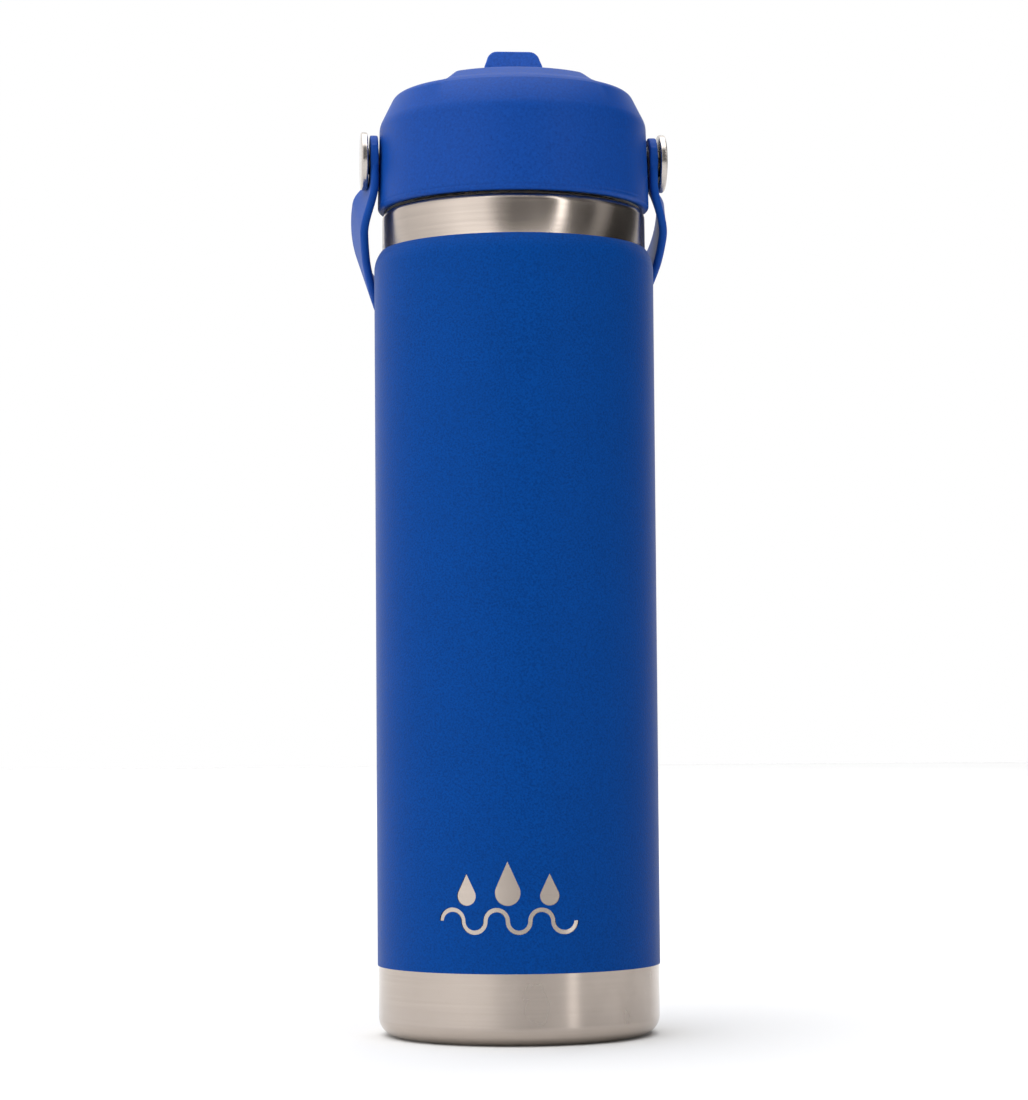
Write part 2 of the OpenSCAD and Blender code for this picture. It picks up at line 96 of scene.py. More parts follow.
def mesh_from(name, points, faces):
    """A smooth-shaded object from points in millimetres, its normals turned outward."""
    mesh = bpy.data.meshes.new(name)
    mesh.from_pydata([Vector(p) * MM for p in points], [], faces)
    work = bmesh.new()
    work.from_mesh(mesh)
    bmesh.ops.recalc_face_normals(work, faces=work.faces)
    work.to_mesh(mesh)
    work.free()
    mesh.shade_smooth()
    return link(name, mesh)


def tube_faces(loops, size, closed):
    """Quads between neighbouring loops of the same size, and from the last loop to the first."""
    last = loops if closed else loops - 1
    return [
        (a * size + k, a * size + (k + 1) % size, b * size + (k + 1) % size, b * size + k)
        for a in range(last)
        for b in [(a + 1) % loops]
        for k in range(size)
    ]


def lathe(name, profile, steps):
    """A closed profile of (radius, z) points turned about the Z axis."""
    points = [
        (r * math.cos(2 * math.pi * k / steps), r * math.sin(2 * math.pi * k / steps), z)
        for r, z in profile
        for k in range(steps)
    ]
    return mesh_from(name, points, tube_faces(len(profile), steps, True))


def applied(obj, *modifiers):
    """Adds modifiers given as (type, settings), then makes their result the object's mesh."""
    for kind, settings in modifiers:
        modifier = obj.modifiers.new(kind.lower(), kind)
        for key, value in settings.items():
            setattr(modifier, key, value)
    bpy.context.view_layer.update()
    graph = bpy.context.evaluated_depsgraph_get()
    mesh = bpy.data.meshes.new_from_object(obj.evaluated_get(graph))
    obj.modifiers.clear()
    obj.data = mesh
    obj.data.shade_smooth()
    return obj


def softened(obj, voxel, passes):
    """Joins overlapping closed shapes into one skin and rounds its edges, as moulding does."""
    return applied(
        obj,
        ("REMESH", {"mode": "VOXEL", "voxel_size": voxel * MM, "use_smooth_shade": True}),
        ("SMOOTH", {"factor": 0.5, "iterations": passes}),
    )


def joined(name, *objects):
    """One object from several."""
    work = bmesh.new()
    for obj in objects:
        work.from_mesh(obj.data)
        bpy.data.objects.remove(obj)
    mesh = bpy.data.meshes.new(name)
    work.to_mesh(mesh)
    work.free()
    mesh.shade_smooth()
    return link(name, mesh)


def prism(name, outline, low_end, high_end, axis):
    """A closed outline extruded along "x", "y" or "z"; it lies in the other two, in that order."""
    place = {
        "x": lambda p, d: (d, p[0], p[1]),
        "y": lambda p, d: (p[0], d, p[1]),
        "z": lambda p, d: (p[0], p[1], d),
    }[axis]
    size = len(outline)
    points = [place(p, d) for d in (low_end, high_end) for p in outline]
    faces = tube_faces(2, size, False)
    faces += [tuple(range(size)), tuple(range(size, 2 * size))]
    return mesh_from(name, points, faces)


def rounded_box(width, height, radius, centre=(0, 0), steps=8):
    """Outline of a rectangle with round corners."""
    w, h = width / 2 - radius, height / 2 - radius
    corners = [(w, h, 0), (-w, h, 90), (-w, -h, 180), (w, -h, 270)]
    return [
        (centre[0] + p[0], centre[1] + p[1])
        for x, y, start in corners
        for p in arc(x, y, radius, start, start + 90, steps)
    ]


def ring_outline(radius, steps, centre=(0, 0)):
    """Outline of a circle."""
    return [
        (centre[0] + radius * math.cos(2 * math.pi * k / steps),
         centre[1] + radius * math.sin(2 * math.pi * k / steps))
        for k in range(steps)
    ]


def cut(obj, *tools):
    """Takes the tools' shapes out of the object."""
    for tool in tools:
        applied(obj, ("BOOLEAN", {"operation": "DIFFERENCE", "object": tool, "solver": "EXACT"}))
        bpy.data.objects.remove(tool)


def finished(obj, body, slot, material, *nodes):
    """Puts a piece on its body, gives it its material and hides the CAD nodes that it stands for.
    """
    obj.data.materials.clear()
    obj.data.materials.append(material)
    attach(obj, body)
    if nodes:
        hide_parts(*nodes)
    return obj


# ---------------------------------------------------------------- materials

def shader(name, colour, **settings):
    """A new material with its node tree, its Principled shader and constant settings."""
    material = bpy.data.materials.new(name)
    material.use_nodes = True
    nodes = material.node_tree.nodes
    principled = nodes["Principled BSDF"]
    principled.inputs["Base Color"].default_value = (*colour, 1)
    for key, value in settings.items():
        principled.inputs[key.replace("_", " ")].default_value = value
    return material, material.node_tree, principled


def node(tree, kind, **values):
    """A new shader node, each value set on the input or the property of that name."""
    made = tree.nodes.new(kind)
    for key, value in values.items():
        if key in made.inputs:
            made.inputs[key].default_value = value
        else:
            setattr(made, key, value)
    return made


def coordinates(tree, scale=(1, 1, 1)):
    """Object coordinates in millimetres, stretched by scale."""
    texture = tree.nodes.new("ShaderNodeTexCoord")
    mapping = tree.nodes.new("ShaderNodeMapping")
    mapping.inputs["Scale"].default_value = [s / MM for s in scale]
    tree.links.new(texture.outputs["Object"], mapping.inputs["Vector"])
    return mapping.outputs["Vector"]


def grain(tree, vector, scale, detail, roughness=0.5):
    """Fine noise, its scale in features per millimetre."""
    made = node(tree, "ShaderNodeTexNoise", Scale=scale, Detail=detail, Roughness=roughness)
    tree.links.new(vector, made.inputs["Vector"])
    return made.outputs["Fac"]


def ramp(tree, value, stops):
    """Colours a value by stops of (place, colour)."""
    made = tree.nodes.new("ShaderNodeValToRGB")
    elements = made.color_ramp.elements
    while len(elements) < len(stops):
        elements.new(0.5)
    for element, (place, colour) in zip(elements, stops):
        element.position = place
        element.color = (*colour, 1)
    tree.links.new(value, made.inputs["Fac"])
    return made.outputs["Color"]


def spread(tree, value, low_value, high_value, start=0.3, end=0.7):
    """Maps a value between start and end onto low_value to high_value."""
    made = node(tree, "ShaderNodeMapRange")
    made.inputs["From Min"].default_value = start
    made.inputs["From Max"].default_value = end
    made.inputs["To Min"].default_value = low_value
    made.inputs["To Max"].default_value = high_value
    tree.links.new(value, made.inputs["Value"])
    return made.outputs["Result"]


def bumped(tree, principled, height, distance, under=None):
    """Adds a bump of the given depth in millimetres, on top of another bump if there is one."""
    made = node(tree, "ShaderNodeBump", Strength=1.0, Distance=distance * MM)
    tree.links.new(height, made.inputs["Height"])
    if under:
        tree.links.new(under, made.inputs["Normal"])
    tree.links.new(made.outputs["Normal"], principled.inputs["Normal"])
    return made.outputs["Normal"]


def tinted(colour, factor):
    """The colour made lighter or darker."""
    return tuple(min(1, c * factor) for c in colour)


def multiplied(tree, first, second):
    """The product of two colours, or of a colour and a value."""
    made = node(tree, "ShaderNodeMix", data_type="RGBA", blend_type="MULTIPLY")
    # The node repeats its socket names for each data type, so colours go by number
    factor, colour_a, colour_b, result = 0, 6, 7, 2
    made.inputs[factor].default_value = 1.0
    tree.links.new(first, made.inputs[colour_a])
    tree.links.new(second, made.inputs[colour_b])
    return made.outputs[result]


def powder_paint():
    """Matte powder coat: cured grains that give a fine orange peel, with slight mottling."""
    base = (0.0002, 0.05, 0.262)
    material, tree, principled = shader(
        "powder_coat", base, Roughness=0.52, Specular_IOR_Level=0.05,
        Sheen_Weight=0.12, Sheen_Roughness=0.3)
    vector = coordinates(tree)
    peel = grain(tree, vector, 2.1, 2.0, 0.55)
    fine = grain(tree, vector, 4.5, 2.0, 0.6)
    cloud = grain(tree, vector, 0.06, 2.0)
    mottled = ramp(tree, peel, [(0.3, tinted(base, 0.8)), (0.7, tinted(base, 1.22))])
    tone = ramp(tree, cloud, [(0.3, (0.95, 0.95, 0.95)), (0.7, (1.0, 1.0, 1.0))])
    tree.links.new(multiplied(tree, mottled, tone), principled.inputs["Base Color"])
    tree.links.new(spread(tree, peel, 0.46, 0.6), principled.inputs["Roughness"])
    under = bumped(tree, principled, peel, 0.06)
    bumped(tree, principled, fine, 0.015, under=under)
    return material


def moulded(name, base, roughness, texture, specular=0.45):
    """Moulded plastic with a fine spark-eroded texture."""
    material, tree, principled = shader(
        name, base, Roughness=roughness, Specular_IOR_Level=specular)
    vector = coordinates(tree)
    fine = grain(tree, vector, 1.6, 3.0, 0.65)
    colour = ramp(tree, fine, [(0.3, tinted(base, 0.8)), (0.7, tinted(base, 1.2))])
    tree.links.new(colour, principled.inputs["Base Color"])
    tree.links.new(
        spread(tree, fine, roughness - 0.06, roughness + 0.07), principled.inputs["Roughness"])
    bumped(tree, principled, fine, texture)
    return material


def silicone(name, base, roughness=0.55, clear=0.0):
    """Soft matte silicone, a little velvety at grazing angles."""
    material, tree, principled = shader(
        name, base, Roughness=roughness, Specular_IOR_Level=0.12,
        Sheen_Weight=0.03, Sheen_Roughness=0.5, Transmission_Weight=clear)
    vector = coordinates(tree)
    fine = grain(tree, vector, 3.0, 2.0, 0.5)
    broad = grain(tree, vector, 0.1, 2.0)
    colour = ramp(tree, broad, [(0.3, tinted(base, 0.93)), (0.7, tinted(base, 1.07))])
    tree.links.new(colour, principled.inputs["Base Color"])
    tree.links.new(
        spread(tree, fine, roughness - 0.05, roughness + 0.06), principled.inputs["Roughness"])
    bumped(tree, principled, fine, 0.008)
    return material


def brushed_steel():
    """Stainless steel brushed round the bottle: fine level scratches of uneven gloss."""
    base = (0.485, 0.42, 0.37)
    material, tree, principled = shader(
        "brushed_steel", base, Metallic=1.0, Roughness=0.25, Anisotropic=0.85,
        Anisotropic_Rotation=0.25)
    around_axis = node(tree, "ShaderNodeTangent", direction_type="RADIAL", axis="Z")
    tree.links.new(around_axis.outputs["Tangent"], principled.inputs["Tangent"])
    lines = grain(tree, coordinates(tree, (0.05, 0.05, 6.0)), 1.0, 4.0, 0.65)
    bands = grain(tree, coordinates(tree, (0.02, 0.02, 1.6)), 1.0, 3.0, 0.6)
    smear = grain(tree, coordinates(tree, (0.09, 0.09, 0.05)), 1.0, 3.0, 0.55)
    colour = ramp(tree, bands, [(0.25, tinted(base, 0.95)), (0.75, tinted(base, 1.05))])
    tree.links.new(colour, principled.inputs["Base Color"])
    tree.links.new(spread(tree, smear, 0.19, 0.28), principled.inputs["Roughness"])
    bumped(tree, principled, lines, 0.0006)
    return material


def polished_steel(name, neck_shade_end=0.0):
    """Turned and polished steel; where it is nearer the bottle's axis than neck_shade_end its
    colour is darkened, a painted shade for the recess under each stud's disc.
    """
    base = (0.54, 0.495, 0.455)
    material, tree, principled = shader(name, base, Metallic=1.0, Roughness=0.2)
    vector = coordinates(tree)
    rub = grain(tree, vector, 2.0, 3.0, 0.6)
    colour = ramp(tree, rub, [(0.3, tinted(base, 0.94)), (0.7, tinted(base, 1.05))])
    place = node(tree, "ShaderNodeSeparateXYZ")
    outward = node(tree, "ShaderNodeMath", operation="ABSOLUTE")
    tree.links.new(vector, place.inputs["Vector"])
    tree.links.new(place.outputs["X"], outward.inputs[0])
    # Painted shade: the colour falls to 0.06 on the studs' necks, standing for the shade between
    # disc and strap
    painted_shade = spread(tree, outward.outputs["Value"], 0.06, 1.0, neck_shade_end - 0.2, neck_shade_end)
    tree.links.new(multiplied(tree, colour, painted_shade), principled.inputs["Base Color"])
    tree.links.new(spread(tree, rub, 0.16, 0.28), principled.inputs["Roughness"])
    bumped(tree, principled, rub, 0.002)
    return material


def machined_brass():
    """Brass with the fine rings of a lathe tool."""
    base = (0.62, 0.42, 0.14)
    material, tree, principled = shader("brass", base, Metallic=1.0, Roughness=0.3)
    turned = grain(tree, coordinates(tree, (6.0, 1.0, 1.0)), 1.0, 2.0)
    tree.links.new(spread(tree, turned, 0.22, 0.4), principled.inputs["Roughness"])
    bumped(tree, principled, turned, 0.01)
    return material


def solder_glass():
    """Dark fused glass that seals the vacuum, smooth and a little uneven in colour."""
    base = (0.25, 0.22, 0.2)
    material, tree, principled = shader("solder_glass", base, Roughness=0.22)
    flow = grain(tree, coordinates(tree), 0.8, 2.0)
    colour = ramp(tree, flow, [(0.3, tinted(base, 0.85)), (0.7, tinted(base, 1.15))])
    tree.links.new(colour, principled.inputs["Base Color"])
    bumped(tree, principled, flow, 0.01)
    return material


# ---------------------------------------------------------------- steel body

def wall_profile(inset):
    """Outside of the steel wall moved inward: rounded foot, side, shoulder and collar."""
    foot_round, shoulder_round, collar_round = 4.8, 7.7, 2.3
    shoulder_rise = 5
    shoulder_z = SHOULDER_TOP - shoulder_rise
    top = math.degrees(math.asin(shoulder_rise / (shoulder_round - inset)))
    collar_r = STEEL_R - shoulder_round + math.sqrt(shoulder_round ** 2 - shoulder_rise ** 2)
    foot = arc(STEEL_R - foot_round, foot_round, foot_round - inset, -90, 0, 20)
    shoulder = arc(STEEL_R - shoulder_round, shoulder_z, shoulder_round - inset, 0, top, 14)
    collar = arc(
        collar_r - collar_round, SHELF_Z - collar_round, collar_round - inset, 0, 90, 14)
    return foot + shoulder + collar


def thread_ridge(root, rise, start_z):
    """One helical ridge with rounded flanks, fading out at both ends."""
    turns, pitch, steps, fade_parts = 1.2, 4.0, 240, 8
    section = [(-0.3, -1.0), (0.55, -0.75), (0.95, -0.5), (1.0, 0.0), (0.95, 0.5), (0.55, 0.75),
               (-0.3, 1.0)]
    points = []
    for i in range(steps + 1):
        turn = 2 * math.pi * turns * i / steps
        fade = min(1, i * fade_parts / steps, (steps - i) * fade_parts / steps)
        grow = math.sin(fade * math.pi / 2)
        for out, up in section:
            r = root + (rise * out * grow if out > 0 else out)
            z = start_z + pitch * turns * i / steps + up
            points.append((r * math.cos(turn), r * math.sin(turn), z))
    size = len(section)
    faces = tube_faces(steps + 1, size, False)
    faces += [tuple(range(size)), tuple(range(steps * size, steps * size + size))]
    return mesh_from("ridge", points, faces)


def outer_wall(material):
    """Outer steel wall with its neck and thread."""
    wall, lip_r, neck_r, neck_fillet = 0.5, STEEL_R - 5.8, 28.2, 0.8
    rim_in, rim_drop = 0.1, 0.2
    inside = wall_profile(wall)
    profile = [(lip_r, wall), (lip_r, 0.0)] + wall_profile(0)
    profile += arc(neck_r + neck_fillet, SHELF_Z + neck_fillet, neck_fillet, 270, 180, 6)
    profile += [(neck_r, RIM_TOP - rim_drop), (neck_r - rim_in, RIM_TOP), (neck_r - wall, RIM_TOP)]
    profile += [(neck_r - wall, SHELF_Z - wall)]
    profile += inside[::-1]
    body = lathe("wall", profile, 256)
    ridge = thread_ridge(neck_r, rise=1.2, start_z=SHELF_Z + 3)
    return finished(
        joined("steel_outer_wall", body, ridge), "bottle", "bare_steel", material, "outer_wall")


# ---------------------------------------------------------------- lid shell

LID_T, LID_BLEND = 2.2, 0.7
SLOT_HALF, SLOT_FRONT, SLOT_BACK, SLOT_CORNER = 8.3, -16.4, 25.6, 1.5
CROWN_R = 340.0
EDGE_X, EDGE_Z, EDGE_ROUND, EDGE_END = LID_R - 6.47, CROWN_Z - 4.15, 2.9, 85.0
DECK_HALF, DECK_FRONT, DECK_BACK, DECK_BLEND = 16.0, 25.0, 27.1, 0.9
DECK_DROP, DECK_RAMP = 3.4, 5.5


def slot_points(grow):
    """The spout slot's outline, grown by grow: dense at the corners, even in angle between."""
    radius, bend_steps = SLOT_CORNER + grow, 8
    x, front, back = SLOT_HALF - SLOT_CORNER, SLOT_FRONT + SLOT_CORNER, SLOT_BACK - SLOT_CORNER
    corners = [(x, back, 0), (-x, back, 90), (-x, front, 180), (x, front, 270)]
    between = [28, 72, 36, 72]
    outline = []
    for (cx, cy, start), count, follow in zip(corners, between, corners[1:] + corners[:1]):
        bend = arc(cx, cy, radius, start, start + 90, bend_steps)
        outline += bend
        first = Vector(bend[-1])
        last = Vector(arc(*follow[:2], radius, follow[2], follow[2] + 90, bend_steps)[0])
        a, b = math.atan2(first.y, first.x), math.atan2(last.y, last.x)
        b += 2 * math.pi if b < a else 0
        for k in range(1, count):
            t = a + (b - a) * k / count
            ray = Vector((math.cos(t), math.sin(t)))
            if abs(first.x - last.x) < 1e-6:
                outline.append(tuple(ray * (first.x / ray.x)))
            else:
                outline.append(tuple(ray * (first.y / ray.y)))
    return outline


def smooth_max(a, b, k):
    """The larger of a and b, blended over about k."""
    h = max(0.0, 1 - abs(a - b) / k)
    return max(a, b) + h * h * h * k / 6


def deck_height(x, y):
    """Height of the raised deck: flat, its sides at 45 degrees, its front a gentler ramp."""
    r = math.hypot(x, y)
    end, slope = (DECK_FRONT, DECK_DROP / DECK_RAMP) if y < 0 else (DECK_BACK, 1.0)
    ahead = (r - end) * slope
    side = abs(x) - DECK_HALF
    drop = smooth_max(ahead, side, DECK_BLEND)
    return DECK_TOP - smooth_max(drop, 0.0, DECK_BLEND)


def dome_height(r):
    """Height of the shallow dome at radius r."""
    return CROWN_Z - CROWN_R + math.sqrt(CROWN_R ** 2 - r * r)


def top_height(x, y):
    """Height of the lid's top: the dome and the deck, blended."""
    r = math.hypot(x, y)
    return smooth_max(dome_height(r), deck_height(x, y), LID_BLEND)


def lid_side():
    """Outer profile from the crown's edge down to the skirt's rounded bottom."""
    edge = arc(EDGE_X, EDGE_Z, EDGE_ROUND, EDGE_END, 25.5, 22)
    bend = arc(LID_R - 6.55, SHELF_Z + 21, 6, 25, 2, 10)
    middle = [(LID_R - 0.35, SHELF_Z + 14), (LID_R - 0.12, SHELF_Z + 7), (LID_R, SHELF_Z + 2.2)]
    groove = [(LID_R, SHELF_Z + 1.75), (LID_R - 0.12, SHELF_Z + 1.55), (LID_R, SHELF_Z + 1.35)]
    foot_round = 0.9
    foot = arc(LID_R - foot_round, LID_LOW + foot_round, foot_round, 0, -90, 10)
    return edge + bend + middle + groove + foot


def spread_out(outline, angles, radius, share):
    """The outline with each point moved that share of the way to a circle of the radius."""
    return [
        (x + (radius * math.cos(a) - x) * share, y + (radius * math.sin(a) - y) * share)
        for (x, y), a in zip(outline, angles)
    ]


def lid_shell(material):
    """Domed lid with the spout slot, as one closed skin of loops."""
    rim_round, wall_low = 0.7, DECK_TOP - LID_T
    rim = slot_points(rim_round)
    slot = slot_points(0)
    angles = [math.atan2(y, x) for x, y in rim]
    start_r = EDGE_X + EDGE_ROUND * math.cos(math.radians(EDGE_END))
    loops = []
    rings = 64
    for step in range(rings + 1):
        outline = spread_out(rim, angles, start_r, step / rings)
        loops.append([(x, y, top_height(x, y)) for x, y in outline])
    for r, z in lid_side():
        loops.append([
            (r * math.cos(a), r * math.sin(a),
             smooth_max(z, deck_height(r * math.cos(a), r * math.sin(a)), LID_BLEND)
             if z > EDGE_Z + 1 else z)
            for a in angles])
    bore = LID_R - 2.3
    inner = [(bore, LID_LOW), (bore, SHELF_Z + 18), (bore - 0.6, SHELF_Z + 22),
             (EDGE_X + 0.6, EDGE_Z - 0.6), (EDGE_X - 1.5, EDGE_Z + 0.4)]
    for r, z in inner:
        loops.append([(r * math.cos(a), r * math.sin(a), z) for a in angles])
    under_r = EDGE_X - 2
    under_rings = 12
    for step in range(under_rings):
        outline = spread_out(slot, angles, under_r, 1 - step / under_rings)
        loops.append([(x, y, top_height(x, y) - LID_T) for x, y in outline])
    loops.append([(x, y, wall_low) for x, y in slot])
    rim_steps = 6
    for step in range(rim_steps):
        a = math.radians(90 * step / rim_steps)
        share = 1 - math.cos(a)
        loops.append([
            (x + (rx - x) * share, y + (ry - y) * share,
             top_height(rx, ry) - rim_round * (1 - math.sin(a)))
            for (x, y), (rx, ry) in zip(slot, rim)])
    points = [p for loop in loops for p in loop]
    shell = mesh_from("lid_shell_skin", points, tube_faces(len(loops), len(rim), True))
    return finished(shell, "lid", "blue_plastic", material, "lid_shell")


# ---------------------------------------------------------------- flip spout

HUB_R, CHANNEL_R, PIN_BORE_R, SPOUT_HALF = 5.2, 1.6, 1.3, 7.9
ARM_LEN, NOSE_ROUND = 18.4, 1.6
TAB_LEAN, TAB_LEAN_FROM = 0.3, 4
SPOUT_VOXEL = 0.22


def tab_outline():
    """Thumb tab from the front: upright foot, narrowing sides and rounded top corners."""
    top = high("flip_spout", 2)
    half, corner = 6.95, 2.8
    right = [(SPOUT_HALF, HINGE_Z), (SPOUT_HALF, HINGE_Z + 6.4), (7.75, HINGE_Z + 7.6),
             (7.45, HINGE_Z + 8.8)]
    right += arc(half - corner, top - corner, corner, 8, 90, 12)
    return right + [(-x, z) for x, z in right[::-1]]


def flip_spout(material):
    """Hub, spout arm and thumb tab in one moulding, with its drinking channel."""
    hinge = (HINGE_Y, HINGE_Z)
    hub = prism("hub", ring_outline(HUB_R, 96, hinge), -SPOUT_HALF, SPOUT_HALF, "x")
    arm_outline = rounded_box(13, 6.8, 2.4, (0, HINGE_Z))
    arm = prism("arm", arm_outline, HINGE_Y, HINGE_Y + ARM_LEN, "y")
    nose_outline = rounded_box(9.2, 5, NOSE_ROUND, (0, HINGE_Z))
    nose = prism("nose", nose_outline, HINGE_Y + 17, HINGE_Y + 24.4, "y")
    tab = prism("tab", tab_outline(), HINGE_Y - 2.8, HINGE_Y + 0.2, "y")
    for v in tab.data.vertices:
        v.co.y += TAB_LEAN * max(0, v.co.z - (HINGE_Z + TAB_LEAN_FROM) * MM)
    spout = softened(joined("flip_spout_body", hub, arm, nose, tab), SPOUT_VOXEL, 5)
    channel = prism(
        "channel", ring_outline(CHANNEL_R, 48, (0, HINGE_Z)), HINGE_Y - 9, HINGE_Y + 30, "y")
    pins = [
        prism("pin_bore", ring_outline(PIN_BORE_R, 48, hinge), a, b, "x")
        for a, b in ((4.3, 9), (-9, -4.3))]
    cut(spout, channel, *pins)
    return finished(spout, "spout", "blue_plastic", material, "flip_spout")


def mouthpiece(material):
    """Soft rounded nib on the spout's end, with a socket for the spout's nose."""
    start = HINGE_Y + ARM_LEN
    end = high("mouthpiece", 1)
    sleeve = prism("nib", rounded_box(12.4, 6.8, 3, (0, HINGE_Z)), start, end, "y")
    nib = softened(sleeve, SPOUT_VOXEL, 8)
    socket_outline = rounded_box(9.3, 5.1, NOSE_ROUND, (0, HINGE_Z))
    socket = prism("socket", socket_outline, start - 1, start + 6.1, "y")
    bore = prism("bore", ring_outline(CHANNEL_R, 48, (0, HINGE_Z)), start, end + 1, "y")
    cut(nib, socket, bore)
    return finished(nib, "spout", "blue_silicone", material, "mouthpiece")


# ---------------------------------------------------------------- carry strap

EYELET_X, EYELET_T, EYELET_R, HOLE_R = LID_R, 2.1, 6.75, 4.6
BAND_T, BAND_W, BAND_W_TOP = 2.2, 20.0, 12.5
BAND_LEN, BAND_HALF, FLARE_FROM, FLARE_TO = 74.0, 39.9, 4.3, 15.7
KNEE_LEN, TWIST = 22.0, math.radians(12)
SLOPE_TOP, SLOPE_KNEE, SLOPE_END = [math.radians(a) for a in (3, 51, 64)]
EYELET_MID = EYELET_X + EYELET_T / 2
KNEE_BEND = (SLOPE_KNEE - SLOPE_TOP) / KNEE_LEN
LOOP_BEND = (SLOPE_END - SLOPE_KNEE) / (BAND_LEN - KNEE_LEN)


def band_frame(s):
    """The band at length s from the stud: middle, directions through and across, and flare."""
    flare = min(1, max(0, (s - FLARE_FROM) / (FLARE_TO - FLARE_FROM)))
    loop = max(0, (s - FLARE_TO) / (BAND_LEN - FLARE_TO))
    knee = SLOPE_TOP + KNEE_BEND * min(s, KNEE_LEN)
    slope = knee + LOOP_BEND * max(0, s - KNEE_LEN)
    y = ((math.cos(SLOPE_TOP) - math.cos(knee)) / KNEE_BEND
         + (math.cos(knee) - math.cos(slope)) / LOOP_BEND)
    z = (STUD_Z - (math.sin(knee) - math.sin(SLOPE_TOP)) / KNEE_BEND
         - (math.sin(slope) - math.sin(knee)) / LOOP_BEND)
    if s < FLARE_TO:
        x = EYELET_MID + (BAND_HALF - EYELET_MID) * (1 - math.cos(math.pi * flare)) / 2
        rise = (BAND_HALF - EYELET_MID) * math.pi / 2 / (FLARE_TO - FLARE_FROM)
        normal = Vector((1, -rise * math.sin(math.pi * flare)))
    else:
        c = math.sqrt(max(0, 1 - loop * loop))
        x = BAND_HALF * c
        normal = Vector(((BAND_LEN - FLARE_TO) * c, BAND_HALF * loop))
    normal.normalize()
    along = Vector((0, math.sin(slope), -math.cos(slope)))
    through = Vector((normal.x, 0, 0)) + along * normal.y
    across = Vector((0, math.cos(slope), math.sin(slope)))
    return Vector((x, y, z)), through, across, flare


def band_ring(s, side):
    """One rounded cross-section of the band on the given side of the bottle."""
    middle, through, across, flare = band_frame(s)
    wide = math.sin(math.pi / 2 * min(1, max(0, s / FLARE_TO)))
    w = (BAND_W_TOP + (BAND_W - BAND_W_TOP) * wide) / 2
    t = (EYELET_T + (BAND_T - EYELET_T) * flare) / 2
    twist = TWIST * math.sin(math.pi * max(0, s) / BAND_LEN) ** 2
    ring = []
    edge_round = t * 0.95
    for x, z in rounded_box(2 * w, 2 * t, edge_round, steps=9):
        out = x * math.sin(twist) + z * math.cos(twist)
        back = x * math.cos(twist) - z * math.sin(twist)
        p = middle + through * out + across * back
        ring.append((side * p.x, p.y, p.z))
    return ring


def strap(material):
    """The carry strap: one soft band from eyelet to eyelet behind the bottle."""
    tuck, near, far = 3, 40, 70
    stations = [-tuck + (FLARE_TO + tuck) * i / near for i in range(near)]
    stations += [
        FLARE_TO + (BAND_LEN - FLARE_TO) * math.sin(math.pi / 2 * i / far)
        for i in range(far + 1)
    ]
    rings = [band_ring(s, 1) for s in stations]
    rings += [band_ring(s, -1) for s in stations[-2::-1]]
    size = len(rings[0])
    faces = tube_faces(len(rings), size, False)
    faces += [tuple(range(size)), tuple(range((len(rings) - 1) * size, len(rings) * size))]
    band = mesh_from("band", [p for ring in rings for p in ring], faces)
    discs = [
        prism("eyelet", ring_outline(EYELET_R, 96, (0, STUD_Z)), *ends, "x")
        for ends in ((EYELET_X, EYELET_X + EYELET_T), (-EYELET_X - EYELET_T, -EYELET_X))]
    piece = softened(joined("carry_strap", band, *discs), 0.3, 4)
    holes = [
        prism("hole", ring_outline(HOLE_R, 96, (0, STUD_Z)), *ends, "x")
        for ends in ((EYELET_X - 2, EYELET_X + 5), (-EYELET_X - 5, 2 - EYELET_X))]
    cut(piece, *holes)
    return finished(piece, "strap", "blue_silicone", material, "strap_handle")


# ---------------------------------------------------------------- stage, lights and camera

def stage():
    """A plain pale floor, far larger than the bottle and just clear of its base."""
    material = shader("stage_floor", (0.78, 0.78, 0.78), Roughness=0.9)[0]
    radius, clear = 6000, 0.02
    floor = prism("floor", ring_outline(radius, 96), -2, -clear, "z")
    floor.data.materials.append(material)


def overhead():
    """Even soft light from straight above."""
    data = bpy.data.lights.new("overhead", "SUN")
    data.energy = 2.1
    data.angle = math.radians(70)
    bpy.context.scene.collection.objects.link(bpy.data.objects.new("overhead", data))


# Radiance of the studio by azimuth in degrees: 0 is toward the camera, positive to its right
STUDIO = [
    (-180, 1.0), (-150, 1.3), (-112, 0.95), (-80, 1.15), (-50, 1.6), (-26, 1.45), (-12, 0.45),
    (0, 0.2), (30, 0.2), (39, 0.26), (42, 3.2), (47, 2.9), (50, 0.2), (75, 0.1), (84, 0.45),
    (92, 0.35), (100, 0.03), (136, 0.02), (150, 1.3), (180, 1.1)]


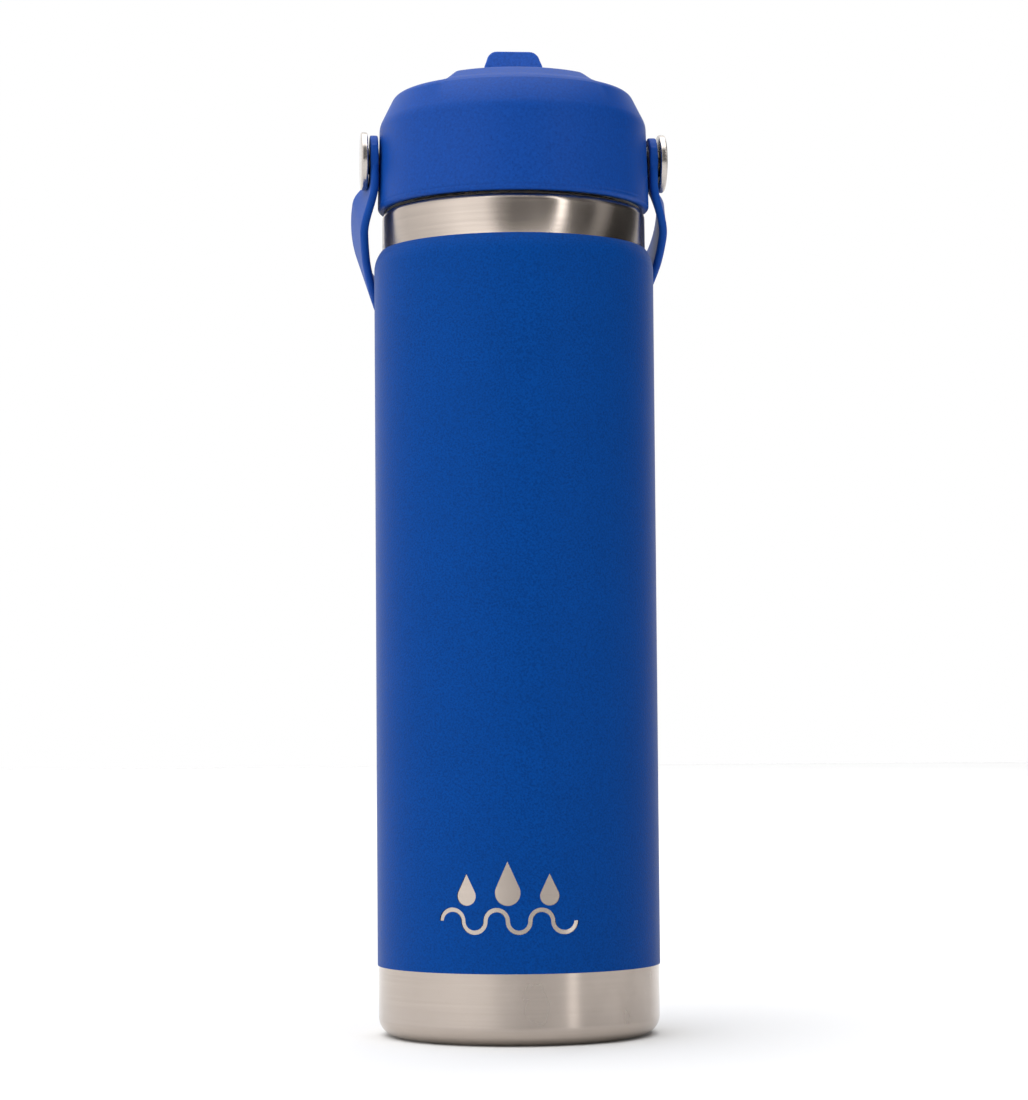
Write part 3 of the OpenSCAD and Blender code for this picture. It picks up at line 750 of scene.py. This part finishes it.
def surroundings():
    """Soft boxes at the left and behind, a thin one at the right, and white for the camera."""
    world = bpy.data.worlds.new("studio")
    bpy.context.scene.world = world
    world.use_nodes = True
    tree = world.node_tree
    seen, unseen = tree.nodes["Background"], tree.nodes.new("ShaderNodeBackground")
    seen.inputs["Color"].default_value = (1, 1, 1, 1)
    heading = tree.nodes.new("ShaderNodeTexCoord")
    turned = node(tree, "ShaderNodeMapping", vector_type="VECTOR",
                  Rotation=(0, 0, math.radians(90 + CAMERA_YAW)))
    azimuth = node(tree, "ShaderNodeTexGradient", gradient_type="RADIAL")
    tree.links.new(heading.outputs["Generated"], turned.inputs["Vector"])
    tree.links.new(turned.outputs["Vector"], azimuth.inputs["Vector"])
    peak = 4.0
    stops = [(a / 360 + 0.5, (v / peak, v / peak, v / peak)) for a, v in STUDIO]
    tree.links.new(ramp(tree, azimuth.outputs["Fac"], stops), unseen.inputs["Color"])
    unseen.inputs["Strength"].default_value = peak
    path, mix = tree.nodes.new("ShaderNodeLightPath"), tree.nodes.new("ShaderNodeMixShader")
    tree.links.new(path.outputs["Is Camera Ray"], mix.inputs["Fac"])
    tree.links.new(unseen.outputs["Background"], mix.inputs[1])
    tree.links.new(seen.outputs["Background"], mix.inputs[2])
    tree.links.new(mix.outputs["Shader"], tree.nodes["World Output"].inputs["Surface"])
    bpy.context.scene.view_settings.view_transform = "Standard"


# Distances in metres, angles in degrees, the lens in millimetres
CAMERA_YAW = 5.2
CAMERA_DISTANCE = 0.8004
CAMERA_HEIGHT = 0.0783
CAMERA_PITCH = 3.345
CAMERA_ROLL = -0.432
CAMERA_PAN = 0.033
CAMERA_LENS = 100.65


def camera():
    """Long lens low in front of the bottle, looking slightly up."""
    data = bpy.data.cameras.new("camera")
    data.lens = CAMERA_LENS
    data.sensor_width = 36
    data.clip_start, data.clip_end = 0.05, 50
    eye = bpy.data.objects.new("camera", data)
    bpy.context.scene.collection.objects.link(eye)
    yaw, pitch = math.radians(CAMERA_YAW), math.radians(CAMERA_PITCH)
    place = Vector((-math.sin(yaw), -math.cos(yaw), 0)) * CAMERA_DISTANCE
    heading = yaw - math.radians(CAMERA_PAN)
    ahead = Vector((math.sin(heading) * math.cos(pitch), math.cos(heading) * math.cos(pitch),
                    math.sin(pitch)))
    right = ahead.cross(Vector((0, 0, 1))).normalized()
    up = right.cross(ahead)
    roll = math.radians(CAMERA_ROLL)
    rolled_right = right * math.cos(roll) + up * math.sin(roll)
    rolled_up = rolled_right.cross(ahead)
    turn = Matrix((rolled_right, rolled_up, -ahead)).transposed().to_4x4()
    eye.matrix_world = Matrix.Translation(place + Vector((0, 0, CAMERA_HEIGHT))) @ turn
    bpy.context.scene.camera = eye


# ---------------------------------------------------------------- assembly

def paint(material, *nodes):
    """Gives CAD nodes their material."""
    for name in nodes:
        slots = frame["nodes"][name].data.materials
        slots.clear()
        slots.append(material)


camera()
stage()
overhead()
surroundings()

steel = brushed_steel()
# The studs' steel has painted shade on their necks, under the discs; the hinge pins' copy has none
stud_steel_painted_shade = polished_steel("polished_steel", high("stud_right", 0) - STUD_DISC_T + 0.1)
pin_steel = polished_steel("pin_steel")
plastic = moulded(
    "blue_plastic", (0.003, 0.056, 0.312), roughness=0.48, texture=0.02, specular=0.13)
# Painted light: a lighter copy of the lid's blue plastic for the spout, so its thumb tab looks as
# brightly lit as the lid's top
spout_plastic_painted_light = moulded(
    "spout_plastic_painted_light", (0.009, 0.082, 0.43), roughness=0.47, texture=0.02, specular=0.22)
blue_silicone = silicone("blue_silicone", (0.002, 0.058, 0.32))
white = moulded("white_plastic", (0.78, 0.78, 0.76), roughness=0.4, texture=0.004)
milky = silicone("milky_silicone", (0.80, 0.82, 0.82), roughness=0.4, clear=0.15)
straw_plastic = moulded("straw_plastic", (0.82, 0.85, 0.86), roughness=0.22, texture=0.002)

outer_wall(steel)
lid_shell(plastic)
flip_spout(spout_plastic_painted_light)
mouthpiece(blue_silicone)
strap(blue_silicone)
paint(powder_paint(), "powder_coat")
paint(steel, "inner_wall", "base_cap", "getter")
paint(stud_steel_painted_shade, "stud_left", "stud_right")
paint(pin_steel, "hinge_pin_left", "hinge_pin_right")
paint(machined_brass(), "insert_left", "insert_right")
paint(white, "lid_liner", "grommet_left", "grommet_right")
paint(plastic, "spout_cradle")
paint(milky, "mouth_gasket", "spout_seal", "cradle_gasket", "vent_valve", "straw_sleeve")
paint(straw_plastic, "straw")
paint(solder_glass(), "vacuum_seal")
